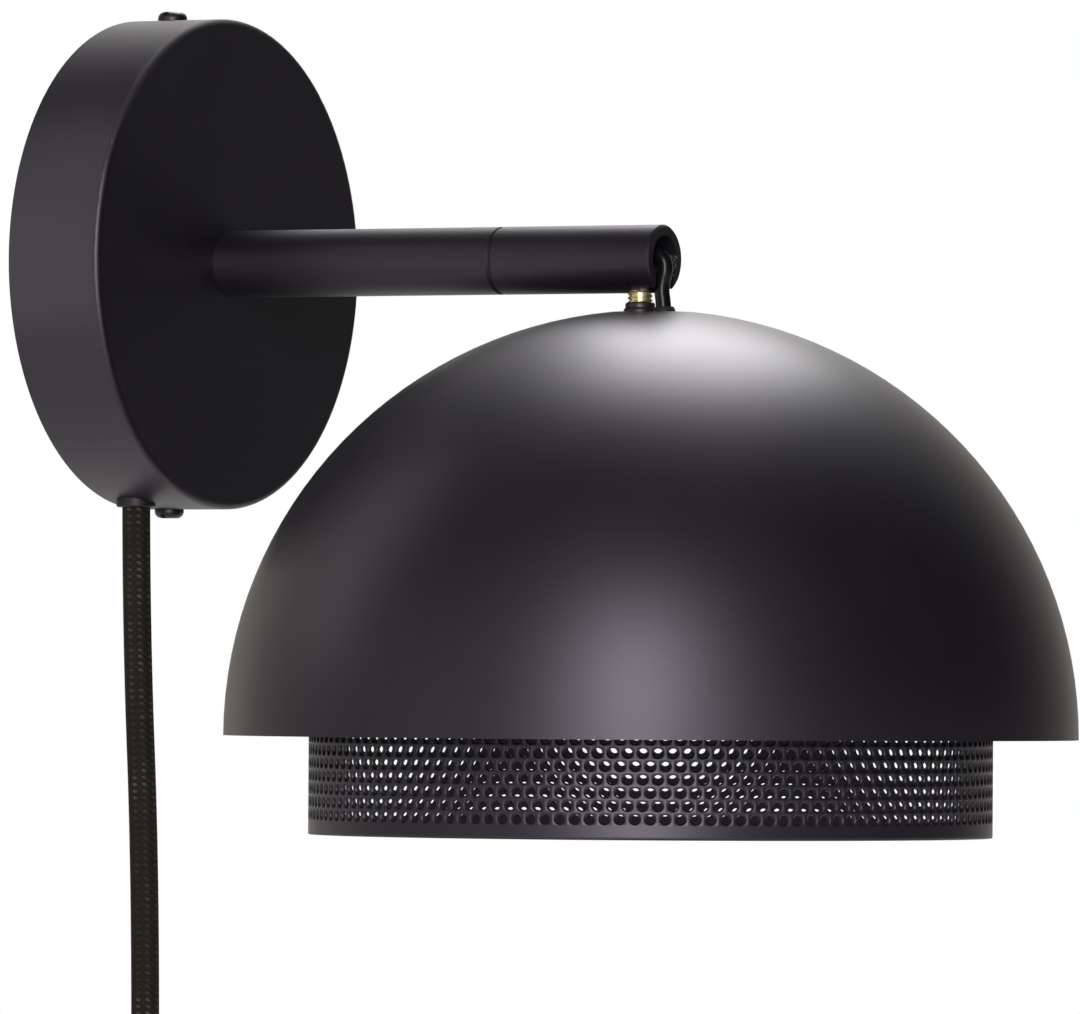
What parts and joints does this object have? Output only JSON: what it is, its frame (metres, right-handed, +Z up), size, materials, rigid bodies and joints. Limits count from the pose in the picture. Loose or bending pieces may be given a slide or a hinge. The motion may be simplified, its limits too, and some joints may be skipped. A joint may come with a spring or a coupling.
{
  "type": "wall lamp",
  "caption": "Wall lamp with a round canopy, a short swivel arm, a dome shade over a perforated ring, and a braided supply cord with an in-line switch.",
  "frame": {"origin": "centre of the canopy on the wall plane", "axes": "the wall is the plane y = 0, the arm stands out along -Y, +Z is up, +X is right seen from the room"},
  "size_m": [0.2, 0.242, 0.4673],
  "materials": {
    "black_paint": "satin black powder coat",
    "black_steel": "blackened steel",
    "zinc_steel": "zinc plated",
    "brass": "bare turned brass",
    "nickel_pins": "nickel plated",
    "black_plastic": "moulded matte",
    "white_plastic": "moulded translucent white",
    "black_rubber": "matte",
    "cable_sheath": "glossy sheath",
    "wire_insulation": "insulated wire",
    "cord_braid": "braided textile"
  },
  "bodies": {
    "base": {"wall_strap": "zinc_steel", "canopy": "black_paint", "canopy_screws": "black_paint", "cord_gland": "black_plastic", "gland_nut": "black_plastic", "arm_tube": "black_paint", "arm_washer": "zinc_steel", "arm_nut": "zinc_steel", "swivel_spindle": "zinc_steel", "friction_washer": "black_plastic", "spring_washer": "zinc_steel", "lock_nut": "zinc_steel", "terminal_block": "white_plastic", "terminal_screws": "brass", "supply_wires": "wire_insulation", "arm_wires": "wire_insulation", "hanging_cord": "cord_braid", "switch_base": "black_plastic", "switch_cover": "black_plastic", "rocker_pin": "zinc_steel", "lower_cord": "cord_braid", "cord_coil": "cord_braid", "cord_tie": "black_rubber", "cord_tail": "cord_braid", "plug_body": "black_plastic", "plug_pins": "nickel_pins"},
    "head": {"arm_end": "black_paint", "stud": "brass", "collar_nut": "black_steel", "stud_nut": "zinc_steel", "dome_shade": "black_paint", "cable_bushing": "black_rubber", "perforated_ring": "black_paint", "ring_spider": "zinc_steel", "ring_rivets": "black_steel", "holder_bracket": "zinc_steel", "nipple": "zinc_steel", "nipple_nut": "zinc_steel", "holder_cap": "black_plastic", "holder_body": "black_plastic", "screw_shell": "brass", "centre_contact": "brass", "shade_ring": "black_plastic", "lamp_cable": "cable_sheath"},
    "rocker": {"switch_rocker": "black_plastic"}
  },
  "joints": [
    {"name": "arm_swivel", "type": "hinge", "parent": "base", "child": "head", "pos_m": [0, -0.101, 0], "axis": [0, -1, 0], "range_deg": [-90, 90]},
    {"name": "switch_press", "type": "hinge", "parent": "base", "child": "rocker", "pos_m": [-0.013, -0.016, -0.22], "axis": [1, 0, 0], "range_deg": [-16, 0]}
  ]
}
